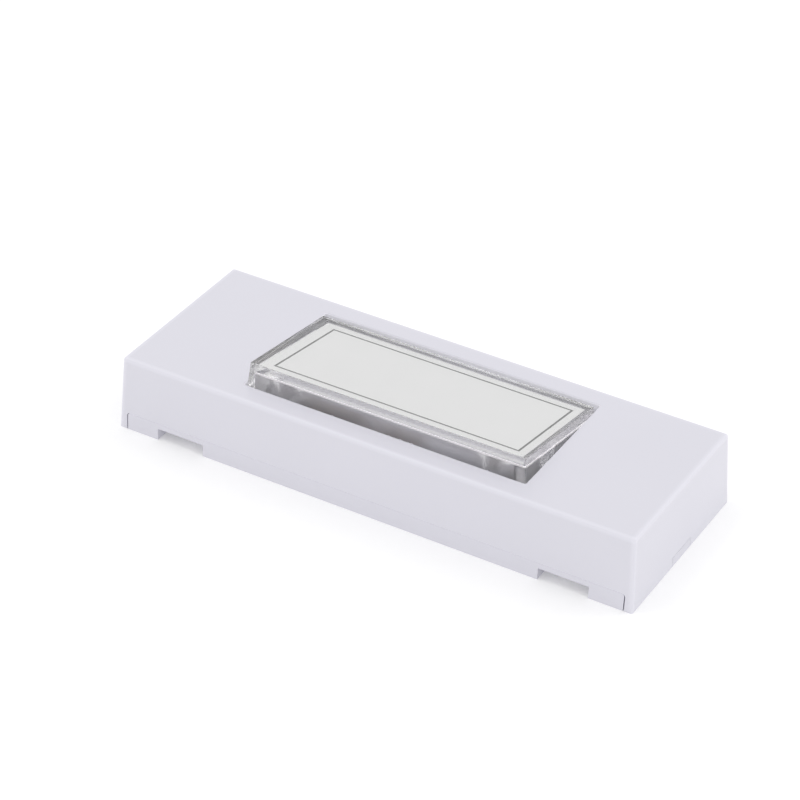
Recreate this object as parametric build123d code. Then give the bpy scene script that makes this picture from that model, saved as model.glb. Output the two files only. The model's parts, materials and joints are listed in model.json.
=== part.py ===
from build123d import *
from math import ceil, cos, pi, radians, sin, tan
import os

# Surface-mounted bell push for a doorbell, in millimetres.
# +Z points out of the wall, +X along the case, +Y towards the button's hinge.
# The origin is the middle of the back, on the wall.

# Case
case_length = 90.0
case_width = 32.5
case_height = 12.7
case_draft = 3.1
case_corner_radius = 0.4
case_edge_radius = 0.4
side_wall = 1.6
top_wall = 1.5

# Opening in the case that the button stands in
aperture_length = 49.0
aperture_width = 23.8
aperture_middle = 0.1
aperture_corner_radius = 0.4
aperture_lip = 0.12

# Base plate, and its strips that lie flush with the sides of the case
floor_thickness = 1.6
floor_gap = 0.15
strip_length = 86.9
strip_height = 2.9
strip_thickness = 2.0
strip_corner_radius = 0.4
strip_end_gap = 0.2
strip_top_gap = 0.05
tab_width = 6.0
tab_height = 1.5
tab_gap = 0.06

# Notches in the strips, and the snap hooks behind them
notch_centre = 33.6
notch_length = 8.4
notch_height = 2.0
notch_depth = 2.9
hook_length = 6.4
hook_thickness = 1.1
hook_gap = 0.15
hook_barb = 0.7
hook_barb_height = 1.7
ledge_length = 8.6
ledge_top = 6.2
ledge_height = 1.2
ledge_depth = 1.25
ledge_play = 0.15

# Fixing slots
fixing_spacing = 72.0
fixing_width = 4.2
fixing_length = 6.5
fixing_rim = 1.8
fixing_rim_height = 0.9

# Cable entry
cable_y = -10.2
cable_width = 5.5
cable_length = 12.0
collar_wall = 0.9
collar_height = 1.2

# Stiffening ribs
cover_rib_places = (29.0, 39.0)
cover_rib_thickness = 1.0
cover_rib_depth = 2.4
floor_rib_place = 40.8
floor_rib_span = 20.0
floor_rib_thickness = 1.0
floor_rib_height = 1.4

# Button
button_side_gap = 0.3
button_front_gap = 0.4
button_back_gap = 1.4
button_rise = 4.1
button_slope = 9.6
button_press_angle = 5.5
button_left_lean = 8.7
button_right_lean = 1.7
button_edge_radius = 0.15
button_corner_radius = 0.3
joint_edge = 0.12
joint_gap = 0.02
tray_wall = 1.5
tray_right_wall = 1.9
tray_floor = 1.2
cap_thickness = 1.55

# End wall of the cap, which reaches down beside the tray's left-hand end
end_wall = 1.45
end_wall_gap = 0.05
end_wall_below_case = 0.5

# Card under the clear cap, in a recess of the tray that the cap's end wall closes on the left
recess_right_rim = 1.1
recess_front_rim = 0.97
recess_back_rim = 0.57
card_thickness = 0.25
card_margin = 0.1
card_play = 0.06

# Snap leg of the cap, in a slot of the tray's right-hand wall, and the round catches at both ends
leg_thickness = 0.7
leg_width = 4.2
leg_length = 2.6
leg_clearance = 0.12
catch_place = 3.8
catch_radius = 0.35
end_catch_drop = 1.0

# Hinge of the button, under the top of the case
pin_radius = 0.9
pin_clearance = 0.05
pin_length = 2.2
pin_inset = 1.2
pin_drop = 0.4
pin_footing = 0.1
lug_gap = 0.3
lug_thickness = 1.7
lug_width = 3.6
lug_below_pin = 0.8
lug_mouth = 1.5

# Hooks of the button that hold it at rest
stop_places = (-14.0, 14.0)
stop_width = 5.0
stop_reach = 1.1
stop_thickness = 1.0
stop_gap = 0.12

# Return springs, with their seats and the stops inside them
spring_place = (18.0, -7.5)
spring_wire = 0.4
spring_radius = 1.8
spring_turns = 4.5
spring_wire_sides = 6
spring_seat_radius = 2.7
spring_seat_height = 1.0
spring_end_gap = 0.1
spring_top = 11.6
spigot_radius = 1.15
spigot_length = 2.6
bottom_gap = 0.15

# Terminals, each on a platform of the base plate
terminal_place = (26.2, -3.2)
platform_height = 1.8
platform_width = 7.6
platform_length = 9.0
foot_platform_length = 9.4
foot_platform_width = 6.6
platform_overlap = 3.0
plate_thickness = 0.6
plate_margin = 0.3
screw_radius = 1.5
screw_hole_gap = 0.1
screw_head_radius = 2.6
screw_head_height = 1.9
screw_edge = 0.4
screw_slot_width = 0.7
screw_slot_depth = 0.9
screw_end_gap = 0.3
washer_side = 6.4
washer_thickness = 0.8
washer_corner = 0.8

# Contacts
contact_width = 4.0
contact_foot = 4.0
leaf_thickness = 0.3
leaf_rise = 2.8
leaf_ramp = 10.0
leaf_bend_radius = 1.5
leaf_overhang = 2.6
bar_thickness = 0.4
bar_rise = 0.6
bar_ramp = 1.6
bar_bend_radius = 0.8
bar_overhang = 2.2
rivet_head_radius = 1.1
rivet_shank_radius = 0.55
rivet_hole_gap = 0.05
rivet_head_height = 0.45
rivet_back_radius = 0.85
rivet_back_height = 0.3
pillar_side = 4.0
pillar_hole_depth = 1.6
plunger_offset = -5.0
plunger_width = 3.6
plunger_thickness = 1.2
plunger_gap = 0.2

# Lamp and its two clips
lamp_place = (0.0, 4.0)
lamp_centre_height = 6.3
lamp_cap_radius = 3.15
lamp_cap_wall = 0.3
lamp_cap_length = 4.5
lamp_cap_end = 14.8
lamp_tip_end = 16.6
lamp_tip_base_radius = 2.2
lamp_tip_radius = 0.7
lamp_glass_gap = 0.05
lamp_glass_wall = 0.45
lamp_glass_cover = 2.6
filament_radius = 0.15
filament_end_gap = 0.15
clip_thickness = 0.4
clip_width = 5.0
clip_face = 15.5
clip_foot = 5.2
clip_top = 9.4
clip_flare = 0.5
clip_flare_height = 1.0
clip_bend_radius = 0.5
clip_seat_gap = 0.04
clip_rivet_place = 19.0
clip_rivet_head_radius = 1.0
clip_rivet_head_height = 0.4
clip_rivet_shank_radius = 0.6
clip_rivet_depth = 1.0

# A little more than any cut has to reach
beyond = 5.0

# Levels and places that follow from the sizes above
cover_underside = case_height - top_wall
floor_top = floor_thickness
platform_top = floor_top + platform_height
plate_top = platform_top + plate_thickness
leaf_underside = plate_top + leaf_rise
leaf_top = leaf_underside + leaf_thickness
bar_underside = plate_top + bar_rise
bar_top = bar_underside + bar_thickness
strip_half = strip_length / 2
button_half_length = aperture_length / 2 - button_side_gap
button_front = aperture_middle - aperture_width / 2 + button_front_gap
button_back = aperture_middle + aperture_width / 2 - button_back_gap
button_top = case_height + button_rise
pivot_y = button_back - pin_inset
pivot_z = cover_underside - pin_drop
skirt_bottom = pivot_z - pin_radius - pin_footing
spring_seat = floor_top + spring_seat_height
hook_outer = case_width / 2 - notch_depth - hook_gap

# The button's sloping top: its own x runs along the case, its own y up the slope of the depth
slope = radians(button_slope)
middle_y = (button_front + button_back) / 2
middle_z = button_top - (middle_y - button_front) * tan(slope)
button_plane = Plane(origin=(0, middle_y, middle_z), x_dir=(1, 0, 0), z_dir=(0, sin(slope), cos(slope)))
button_half_depth = (button_back - button_front) / cos(slope) / 2

# The tray's left-hand end above the case, beside the cap's end wall
tray_left = -button_half_length + end_wall + end_wall_gap

# Levels in the button, measured square to its sloping top
tray_top = -cap_thickness - joint_gap
recess_floor = tray_top - card_thickness - card_play
card_bottom = recess_floor + joint_gap


def block(x, y, z):
    """A box between the two ends given on each axis."""
    size = [high - low for low, high in (x, y, z)]
    middle = [(high + low) / 2 for low, high in (x, y, z)]
    return Pos(*middle) * Box(*size)


def post(x, y, radius, bottom, top):
    """An upright cylinder."""
    return Pos(x, y, (bottom + top) / 2) * Cylinder(radius, top - bottom)


def slab(length, depth, low, high):
    """A plate parallel to the button's sloping top, between two heights measured square to it."""
    return button_plane * Pos(0, 0, (low + high) / 2) * Box(length, depth, high - low)


def recess_slab(margin, low, high):
    """A plate with the outline of the card's recess, drawn in by a margin, between two heights."""
    left = -button_half_length + end_wall + margin
    right = button_half_length - recess_right_rim - margin
    front = -button_half_depth + recess_front_rim + margin
    back = button_half_depth - recess_back_rim - margin
    return button_plane * block((left, right), (front, back), (low, high))


def slot_block(x, y, length, width, bottom, top):
    """A plate with half-round ends along X."""
    outline = Pos(x, y, bottom) * SlotOverall(length, width)
    return extrude(outline, amount=top - bottom)


def mirrored(shape):
    """A shape and its copy on the other side of the middle of the case."""
    return [shape, mirror(shape, Plane.YZ)]


def four_ways(shape):
    """A shape in one corner of the case and its copies in the other three."""
    return [copy for side in mirrored(shape) for copy in (side, mirror(side, Plane.XZ))]


def case_block(inset, height):
    """The drafted outline of the case, drawn in by an inset, from the wall up to a height."""
    outline = Rectangle(case_length - 2 * inset, case_width - 2 * inset)
    return extrude(outline, amount=height, taper=case_draft)


def inner_face(height):
    """How far from the middle the inner face of the case's long walls is, at a height."""
    return case_width / 2 - side_wall - height * tan(radians(case_draft))


def side_spaces(gap_at_end, gap_above, gap_inside):
    """The spaces that the base's strips stand in along the long sides, wider than the strips by the gaps."""
    half = strip_half + gap_at_end
    inner = case_width / 2 - strip_thickness - gap_inside
    space = block((-half, half), (inner, case_width), (-beyond, strip_height + gap_above))
    upper_corners = space.faces().sort_by(Axis.Z)[-1].edges().filter_by(Axis.Y)
    space = fillet(upper_corners, strip_corner_radius + gap_at_end)
    return space + mirror(space, Plane.XZ)


def cover_shell():
    """The drafted shell with softened edges and its opening."""
    shell = case_block(0, case_height)
    level = shell.edges().filter_by(Axis.X) + shell.edges().filter_by(Axis.Y)
    upright = [edge for edge in shell.edges() if edge not in level]
    shell = fillet(upright, case_corner_radius)
    shell = fillet(shell.faces().sort_by(Axis.Z)[-1].edges(), case_edge_radius)
    shell -= case_block(side_wall, cover_underside)
    opening = RectangleRounded(aperture_length, aperture_width, aperture_corner_radius)
    shell -= extrude(Pos(0, aperture_middle) * opening, amount=case_height + beyond)
    rim = shell.faces().sort_by(Axis.Z)[-1].inner_wires()[0]
    return chamfer(rim.edges(), aperture_lip)


def hinge_lug():
    """One ear that hangs under the top of the case and takes a pin of the button."""
    inner = aperture_length / 2 + lug_gap
    return block(
        (inner, inner + lug_thickness),
        (pivot_y - lug_width / 2, pivot_y + lug_width / 2),
        (pivot_z - pin_radius - lug_below_pin, cover_underside + top_wall / 4),
    )


def hinge_bore():
    """The pin's bearing, with the narrower mouth that the pin snaps in through."""
    inner = button_half_length
    outer = inner + pin_length + button_side_gap
    radius = pin_radius + pin_clearance
    bore = Pos((inner + outer) / 2, pivot_y, pivot_z) * Rot(0, 90, 0) * Cylinder(radius, outer - inner)
    bottom = pivot_z - pin_radius - lug_below_pin
    mouth = block(
        (inner, outer),
        (pivot_y - lug_mouth / 2, pivot_y + lug_mouth / 2),
        (bottom - beyond, pivot_z),
    )
    return bore + mouth


def cover_ledge():
    """The ledge inside a long wall that a snap hook of the base plate grips."""
    return block(
        (notch_centre - ledge_length / 2, notch_centre + ledge_length / 2),
        (inner_face(ledge_top) - ledge_depth + side_wall / 2, inner_face(ledge_top) + side_wall / 2),
        (ledge_top - ledge_height, ledge_top),
    )


def front_cover():
    """The moulded cover: shell, opening, hinge lugs, ledges and ribs, cut away for the base's strips."""
    cover = cover_shell()
    cover += mirrored(hinge_lug())
    cover += four_ways(cover_ledge())
    for place in cover_rib_places:
        reach = inner_face(cover_underside) + side_wall / 2
        rib = block(
            (place - cover_rib_thickness / 2, place + cover_rib_thickness / 2),
            (-reach, reach),
            (cover_underside - cover_rib_depth, cover_underside + top_wall / 4),
        )
        cover += mirrored(rib)
    cover -= mirrored(hinge_bore())
    cover -= side_spaces(strip_end_gap, strip_top_gap, floor_gap)
    tab_half = tab_width / 2 + tab_gap
    cover -= block((-case_length, case_length), (-tab_half, tab_half), (-beyond, tab_height + tab_gap))
    return cover


def snap_hook():
    """One snap hook, standing on the floor behind a notch, with its barb outwards."""
    inner = hook_outer - hook_thickness
    tip = hook_outer + hook_barb
    catch = ledge_top + ledge_play
    profile = Polyline(
        (inner, 0),
        (hook_outer, 0),
        (hook_outer, catch),
        (tip, catch),
        (tip, catch + hook_barb_height / 3),
        (hook_outer, catch + hook_barb_height),
        (inner, catch + hook_barb_height),
        (inner, 0),
    )
    start = Plane(origin=(notch_centre - hook_length / 2, 0, 0), x_dir=(0, 1, 0), z_dir=(1, 0, 0))
    return extrude(start * make_face(profile), amount=hook_length)


def notch():
    """One open notch in a strip and in the edge of the floor."""
    outer = case_width / 2
    return block(
        (notch_centre - notch_length / 2, notch_centre + notch_length / 2),
        (outer - notch_depth, outer + beyond),
        (-beyond, notch_height),
    )


def terminal_outline(margin):
    """The L-shaped outline of the right-hand platform, drawn in by a margin."""
    x, y = terminal_place
    half_width = platform_width / 2 - margin
    half_length = platform_length / 2 - margin
    terminal = Pos(x, y) * Rectangle(2 * half_width, 2 * half_length)
    foot_right = x - platform_width / 2 + platform_overlap - margin
    foot_left = x - platform_width / 2 + platform_overlap - foot_platform_length + margin
    foot_bottom = y + platform_length / 2 - platform_overlap + margin
    foot_top = lamp_place[1] + foot_platform_width / 2 - margin
    middle = ((foot_left + foot_right) / 2, (foot_bottom + foot_top) / 2)
    foot = Pos(*middle) * Rectangle(foot_right - foot_left, foot_top - foot_bottom)
    return terminal + foot


def base_floor():
    """The floor with its two side strips and its end tabs."""
    floor = case_block(side_wall + floor_gap, floor_thickness)
    floor += case_block(0, strip_height) & side_spaces(0, 0, 0)
    tab_half = tab_width / 2
    tabs = block((-case_length, case_length), (-tab_half, tab_half), (0, tab_height))
    return floor + (case_block(0, tab_height) & tabs)


def spring_stop_top():
    """The top of the pin inside a return spring, which the button's spigot meets at full press."""
    reach = pivot_y - spring_place[1] + spigot_radius
    drop = reach * sin(radians(button_press_angle))
    lift = (pivot_z - spring_top + spigot_length) * (1 - cos(radians(button_press_angle)))
    return spring_top - spigot_length - drop + lift - bottom_gap


def base_plate():
    """The moulded base: floor, strips, hooks, fixing slots, cable entry and what carries the contacts."""
    base = base_floor()
    rib = block(
        (floor_rib_place - floor_rib_thickness / 2, floor_rib_place + floor_rib_thickness / 2),
        (-floor_rib_span / 2, floor_rib_span / 2),
        (0, floor_top + floor_rib_height),
    )
    base += mirrored(rib)
    x = fixing_spacing / 2
    rim_top = floor_top + fixing_rim_height
    rim = slot_block(x, 0, fixing_length + 2 * fixing_rim, fixing_width + 2 * fixing_rim, 0, rim_top)
    base += mirrored(rim)
    collar_top = floor_top + collar_height
    collar_length = cable_length + 2 * collar_wall
    collar_width = cable_width + 2 * collar_wall
    base += slot_block(0, cable_y, collar_length, collar_width, 0, collar_top)
    base += mirrored(extrude(terminal_outline(0), amount=platform_top))
    seat = post(*spring_place, spring_seat_radius, 0, spring_seat)
    seat += post(*spring_place, spigot_radius, 0, spring_stop_top())
    base += mirrored(seat)
    half = pillar_side / 2
    y = terminal_place[1]
    base += block((-half, half), (y - half, y + half), (0, bar_underside))
    base -= four_ways(notch())
    base += four_ways(snap_hook())
    base -= mirrored(slot_block(x, 0, fixing_length, fixing_width, -beyond, case_height))
    base -= slot_block(0, cable_y, cable_length, cable_width, -beyond, case_height)
    base -= mirrored(post(*terminal_place, screw_radius + screw_hole_gap, floor_top / 2, case_height))
    clip_hole = post(
        clip_rivet_place,
        lamp_place[1],
        clip_rivet_shank_radius + rivet_hole_gap,
        platform_top - clip_rivet_depth,
        case_height,
    )
    base -= mirrored(clip_hole)
    hole_radius = rivet_shank_radius + rivet_hole_gap
    base -= post(0, y, hole_radius, bar_underside - pillar_hole_depth, case_height)
    return base


def button_envelope():
    """The outer shape of the whole button, from its skirt to above its top, with its ends leaning in."""
    end = button_half_length
    top = button_top + beyond
    rise = top - case_height
    drop = case_height - skirt_bottom
    left_slant = tan(radians(button_left_lean))
    right_slant = tan(radians(button_right_lean))
    outline = Polyline(
        (-end, skirt_bottom),
        (end + drop * right_slant, skirt_bottom),
        (end - rise * right_slant, top),
        (-end + rise * left_slant, top),
        (-end, case_height),
        close=True,
    )
    front = Plane(origin=(0, button_front, 0), x_dir=(1, 0, 0), z_dir=(0, -1, 0))
    body = extrude(front * make_face(outline), amount=button_front - button_back)
    across = body.edges().filter_by(Axis.Y)
    level = body.edges().filter_by(Axis.X)
    corners = [edge for edge in body.edges() if edge not in across and edge not in level]
    return fillet(corners, button_corner_radius)


def facing(solid, side):
    """The face of a solid that looks out along the button's sloping top, above (1) or below (-1)."""
    outward = button_plane.z_dir * side
    return max(solid.faces(), key=lambda face: face.normal_at().dot(outward))


def round_catch(x, drop, clearance):
    """A rounded catch along the depth, at a drop below the cap's underside, grown by a clearance."""
    ridge = Rot(90, 0, 0) * Cylinder(catch_radius + clearance, leg_width / 2 + 2 * clearance)
    return button_plane * Pos(x, -catch_place, -cap_thickness - drop) * ridge


def cap_leg(clearance):
    """The snap leg at the cap's right-hand end, with its catch, grown by a clearance."""
    leg_face = button_half_length - leg_thickness
    half = leg_width / 2 + clearance
    leg = button_plane * block(
        (leg_face - clearance, aperture_length / 2),
        (-catch_place - half, -catch_place + half),
        (-cap_thickness - leg_length - clearance, -cap_thickness / 2),
    )
    return leg + round_catch(leg_face, leg_length - 2 * catch_radius, clearance)


def cap_end_wall(face_gap, clearance):
    """The wall at the cap's left-hand end, with its catch, grown by a gap at its face and a clearance."""
    wall_face = -button_half_length + end_wall
    wall_bottom = case_height - end_wall_below_case
    wall = block(
        (-aperture_length / 2, wall_face + face_gap),
        (button_front - beyond, button_back + beyond),
        (wall_bottom - clearance, button_top),
    )
    return wall + round_catch(wall_face, end_catch_drop, clearance)


def lens_cover():
    """The clear cap: a plate over the card, with an end wall on the left and a snap leg on the right."""
    reach = 2 * case_length
    envelope = button_envelope()
    cap = envelope & slab(reach, reach, -cap_thickness, 0)
    cap = fillet(facing(cap, 1).edges(), button_edge_radius)
    cap = chamfer(facing(cap, -1).edges(), joint_edge)
    hanging = envelope & slab(reach, reach, -reach, -cap_thickness + joint_edge)
    return cap + (cap_leg(0) & hanging) + (cap_end_wall(0, 0) & hanging)


def name_card():
    """The card that lies in the tray's recess, under the cap."""
    return recess_slab(card_margin, card_bottom, card_bottom + card_thickness)


def plunger():
    """The cross-shaped post under the tray that pushes the contact leaf."""
    x = plunger_offset
    y = terminal_place[1]
    bottom = leaf_top + plunger_gap
    half_width = plunger_width / 2
    half = plunger_thickness / 2
    along = block((x - half_width, x + half_width), (y - half, y + half), (bottom, button_top))
    across = block((x - half, x + half), (y - half_width, y + half_width), (bottom, button_top))
    return along + across


def push_rocker():
    """The clear rocking tray: sloping floor, skirt, hinge pins, stop hooks, spring spigots and plunger."""
    reach = 2 * case_length
    tray = button_envelope() & slab(reach, reach, -reach, tray_top)
    tray -= cap_end_wall(end_wall_gap, leg_clearance)
    tray = chamfer(facing(tray, 1).edges(), joint_edge)
    hollow = block(
        (tray_left + tray_wall, button_half_length - tray_right_wall),
        (button_front + tray_wall, button_back - tray_wall),
        (skirt_bottom - beyond, button_top),
    )
    tray -= hollow & slab(reach, reach, -reach, tray_top - tray_floor)
    fittings = plunger()
    spigot_bottom = spring_top - spigot_length
    spigot = post(*spring_place, spring_seat_radius, spring_top, button_top)
    spigot += post(*spring_place, spigot_radius, spigot_bottom, spring_top)
    fittings += mirrored(spigot)
    tray += fittings & slab(reach, reach, -reach, tray_top - tray_floor / 2)
    tray -= recess_slab(0, recess_floor, 0)
    pin_middle = button_half_length + pin_length / 2
    pin = Pos(pin_middle, pivot_y, pivot_z) * Rot(0, 90, 0) * Cylinder(pin_radius, pin_length)
    tray += mirrored(pin)
    stop_top = cover_underside - stop_gap
    for place in stop_places:
        tray += block(
            (place - stop_width / 2, place + stop_width / 2),
            (button_front - stop_reach, button_front + tray_wall / 2),
            (stop_top - stop_thickness, stop_top),
        )
    return tray - cap_leg(leg_clearance)


def coil_path(radius, pitch, turns, bottom):
    """A helix about Z as a chain of biarcs, two arcs to each half turn."""
    steps = ceil(2 * turns)
    turn = 2 * pi * turns / steps
    rise = pitch * turns / steps

    def point(step):
        angle = step * turn
        return Vector(radius * cos(angle), radius * sin(angle), bottom + step * rise)

    def heading(step):
        angle = step * turn
        return Vector(-radius * sin(angle), radius * cos(angle), rise / turn).normalized()

    arcs = []
    for step in range(steps):
        start, end = point(step), point(step + 1)
        leaving, arriving = heading(step), heading(step + 1)
        chord = end - start
        total = leaving + arriving
        bend = 2 * (1 - leaving.dot(arriving))
        along = chord.dot(total)
        reach = (-along + (along**2 + bend * chord.dot(chord)) ** 0.5) / bend
        middle = (start + leaving * reach + end - arriving * reach) * 0.5
        first = Edge.make_tangent_arc(start, leaving, middle)
        arcs.append(first)
        arcs.append(Edge.make_tangent_arc(middle, first % 1, end))
    return Wire(arcs)


def coil_gap(path, wire, pitch, turns):
    """The least gap between neighbouring turns of a coil, measured on points along it."""
    per_turn = 48
    count = int(per_turn * turns)
    points = [path @ (step / count) for step in range(count + 1)]
    skip = per_turn // 2
    pairs = [(a, b) for a in range(count + 1) for b in range(a + skip, count + 1)]
    return min((points[a] - points[b]).length for a, b in pairs) - wire


def return_spring(side):
    """One compression spring between its seat on the base plate and the boss of the tray."""
    bottom = spring_seat + spring_end_gap + spring_wire / 2
    top = spring_top - spring_end_gap - spring_wire / 2
    pitch = (top - bottom) / spring_turns
    path = coil_path(spring_radius, pitch, spring_turns, bottom)
    print(f"return spring: least gap to itself {coil_gap(path, spring_wire, pitch, spring_turns):.2f} mm")
    section = Plane(origin=path @ 0, z_dir=path % 0) * RegularPolygon(spring_wire / 2, spring_wire_sides)
    coil = Pos(*spring_place) * sweep(section, path=path)
    return coil if side > 0 else mirror(coil, Plane.YZ)


def strip(points, bend_radius, thickness, width, y):
    """A bent strip of sheet metal, from the points of its middle line seen along Y."""
    line = FilletPolyline(*[(x, y, z) for x, z in points], radius=bend_radius)
    path = line if isinstance(line, Wire) else Wire(line.edges())
    section = Plane(origin=path @ 0, x_dir=(0, 1, 0), z_dir=path % 0) * Rectangle(width, thickness)
    return sweep(section, path=path)


def contact_leaf():
    """The springy leaf: clamped at the left-hand terminal, rising to its free end over the fixed contact."""
    x, y = terminal_place
    level = plate_top + leaf_thickness / 2
    upper = leaf_underside + leaf_thickness / 2
    foot_end = -x + contact_foot
    leaf = strip(
        [(-x - contact_foot, level), (foot_end, level), (foot_end + leaf_ramp, upper), (leaf_overhang, upper)],
        leaf_bend_radius,
        leaf_thickness,
        contact_width,
        y,
    )
    leaf -= post(-x, y, screw_radius + screw_hole_gap, 0, case_height)
    leaf -= post(0, y, rivet_shank_radius + rivet_hole_gap, 0, case_height)
    return leaf


def fixed_contact():
    """The stiff contact bar: clamped at the right-hand terminal and resting on the pillar."""
    x, y = terminal_place
    level = plate_top + bar_thickness / 2
    upper = bar_underside + bar_thickness / 2
    foot_end = x - contact_foot
    bar = strip(
        [(x + contact_foot, level), (foot_end, level), (foot_end - bar_ramp, upper), (-bar_overhang, upper)],
        bar_bend_radius,
        bar_thickness,
        contact_width,
        y,
    )
    bar -= post(x, y, screw_radius + screw_hole_gap, 0, case_height)
    bar -= post(0, y, rivet_shank_radius + rivet_hole_gap, 0, case_height)
    return bar


def moving_contact():
    """The contact rivet at the free end of the leaf, with its head below."""
    y = terminal_place[1]
    rivet = post(0, y, rivet_head_radius, leaf_underside - rivet_head_height, leaf_underside)
    rivet += post(0, y, rivet_shank_radius, leaf_underside - rivet_head_height, leaf_top + rivet_back_height)
    rivet += post(0, y, rivet_back_radius, leaf_top, leaf_top + rivet_back_height)
    return rivet


def fixed_contact_rivet():
    """The contact rivet that pins the bar to its pillar."""
    y = terminal_place[1]
    rivet = post(0, y, rivet_head_radius, bar_top, bar_top + rivet_head_height)
    shank_end = bar_underside - pillar_hole_depth + screw_end_gap
    return rivet + post(0, y, rivet_shank_radius, shank_end, bar_top + rivet_head_height)


def terminal_plate():
    """The right-hand terminal plate, which joins the terminal to its lamp clip."""
    plate = extrude(Pos(0, 0, platform_top) * terminal_outline(plate_margin), amount=plate_thickness)
    plate -= post(*terminal_place, screw_radius + screw_hole_gap, 0, case_height)
    hole = post(clip_rivet_place, lamp_place[1], clip_rivet_shank_radius + rivet_hole_gap, 0, case_height)
    return plate - hole


def washer_bottom(side):
    """The level that a clamp washer lies on: the bar on the right, the leaf on the left."""
    return plate_top + (bar_thickness if side > 0 else leaf_thickness)


def clamp_washer(side):
    """A square washer that clamps a bell wire at one terminal."""
    x, y = terminal_place
    bottom = washer_bottom(side)
    square = Rectangle(washer_side, washer_side)
    outline = Pos(side * x, y, bottom) * chamfer(square.vertices(), washer_corner)
    washer = extrude(outline, amount=washer_thickness)
    return washer - post(side * x, y, screw_radius + screw_hole_gap, 0, case_height)


def terminal_screw(side):
    """A slotted terminal screw."""
    x, y = terminal_place
    under_head = washer_bottom(side) + washer_thickness
    head = post(side * x, y, screw_head_radius, under_head, under_head + screw_head_height)
    head = chamfer(head.edges().sort_by(Axis.Z)[-1], screw_edge)
    shank = post(side * x, y, screw_radius, floor_top / 2 + screw_end_gap, under_head + screw_head_height / 2)
    slot_bottom = under_head + screw_head_height - screw_slot_depth
    half = screw_slot_width / 2
    slot = block(
        (side * x - screw_head_radius, side * x + screw_head_radius),
        (y - half, y + half),
        (slot_bottom, slot_bottom + beyond),
    )
    return head + shank - slot


def lamp_tip_radius_at(x):
    """The radius of the lamp's pointed tip at a place along its axis."""
    share = (x - lamp_cap_end) / (lamp_tip_end - lamp_cap_end)
    return lamp_tip_base_radius + share * (lamp_tip_radius - lamp_tip_base_radius)


def lamp_clip():
    """The right-hand lamp clip: a foot on the terminal plate and an upright with a hole for the lamp's tip."""
    y = lamp_place[1]
    half = clip_thickness / 2
    level = plate_top + half
    face = clip_face + half
    clip = strip(
        [
            (clip_face + clip_foot, level),
            (face, level),
            (face, clip_top - clip_flare_height),
            (face + clip_flare, clip_top),
        ],
        clip_bend_radius,
        clip_thickness,
        clip_width,
        y,
    )
    hole_radius = lamp_tip_radius_at(clip_face) + clip_seat_gap
    hole = Pos(face, y, lamp_centre_height) * Rot(0, 90, 0) * Cylinder(hole_radius, clip_thickness * 2)
    clip -= hole
    return clip - post(clip_rivet_place, y, clip_rivet_shank_radius + rivet_hole_gap, 0, case_height)


def clip_rivet(side):
    """The rivet that holds a lamp clip and its terminal plate down."""
    x = side * clip_rivet_place
    y = lamp_place[1]
    under_head = plate_top + clip_thickness
    top = under_head + clip_rivet_head_height
    rivet = post(x, y, clip_rivet_head_radius, under_head, top)
    return rivet + post(x, y, clip_rivet_shank_radius, platform_top - clip_rivet_depth + rivet_hole_gap, top)


def turned(profile):
    """A solid of revolution about the lamp's axis, from an outline of distance along it and radius."""
    outline = make_face(Polyline(*[(x, radius) for x, radius in profile], close=True))
    ring = revolve(outline, axis=Axis.X)
    return Pos(lamp_place[0], lamp_place[1], lamp_centre_height) * Rot(90, 0, 0) * ring


def lamp_cap():
    """The right-hand metal cap of the lamp, a cup with a pointed end."""
    start = lamp_cap_end - lamp_cap_length
    inner = lamp_cap_radius - lamp_cap_wall
    return turned(
        [
            (start, inner),
            (start, lamp_cap_radius),
            (lamp_cap_end, lamp_cap_radius),
            (lamp_cap_end, lamp_tip_base_radius),
            (lamp_tip_end, lamp_tip_radius),
            (lamp_tip_end, 0),
            (lamp_cap_end - lamp_cap_wall, 0),
            (lamp_cap_end - lamp_cap_wall, inner),
        ]
    )


def lamp_glass():
    """The glass tube of the lamp, held in the two caps."""
    outer = lamp_cap_radius - lamp_cap_wall - lamp_glass_gap
    inner = outer - lamp_glass_wall
    end = lamp_cap_end - lamp_cap_length + lamp_glass_cover
    return turned([(-end, inner), (-end, outer), (end, outer), (end, inner)])


def lamp_filament():
    """The filament's straight wire between the caps."""
    end = lamp_cap_end - lamp_cap_wall - filament_end_gap
    return turned([(-end, 0), (-end, filament_radius), (end, filament_radius), (end, 0)])


def write(name, shapes):
    """Write one node from one shape or a list of separate ones."""
    pieces = shapes if isinstance(shapes, list) else [shapes]
    solids = [solid for piece in pieces for solid in piece.solids()]
    shape = solids[0] if len(solids) == 1 else Compound(children=solids)
    export_step(shape, f"parts/{name}.step")


os.makedirs("parts", exist_ok=True)
write("front_cover", front_cover())
write("base_plate", base_plate())
write("push_rocker", push_rocker())
write("lens_cover", lens_cover())
write("name_card", name_card())
write("return_spring_left", return_spring(-1))
write("return_spring_right", return_spring(1))
write("contact_leaf", contact_leaf())
write("moving_contact", moving_contact())
write("fixed_contact", fixed_contact())
write("fixed_contact_rivet", fixed_contact_rivet())
side_pieces = {"terminal_plate": terminal_plate(), "lamp_clip": lamp_clip(), "lamp_cap": lamp_cap()}
for name, side_piece in side_pieces.items():
    write(f"{name}_right", side_piece)
    write(f"{name}_left", mirror(side_piece, Plane.YZ))
write("clamp_washers", [clamp_washer(-1), clamp_washer(1)])
write("terminal_screws", [terminal_screw(-1), terminal_screw(1)])
write("clip_rivets", [clip_rivet(-1), clip_rivet(1)])
write("lamp_glass", lamp_glass())
write("lamp_filament", lamp_filament())
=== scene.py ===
"""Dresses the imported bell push: finishes, round-wire springs, a coiled filament, light and camera."""
import json
import math
from typing import NamedTuple

import bmesh
import bpy
from bpy.props import FloatProperty, FloatVectorProperty, IntProperty, PointerProperty
from mathutils import Matrix, Vector, noise


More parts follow.
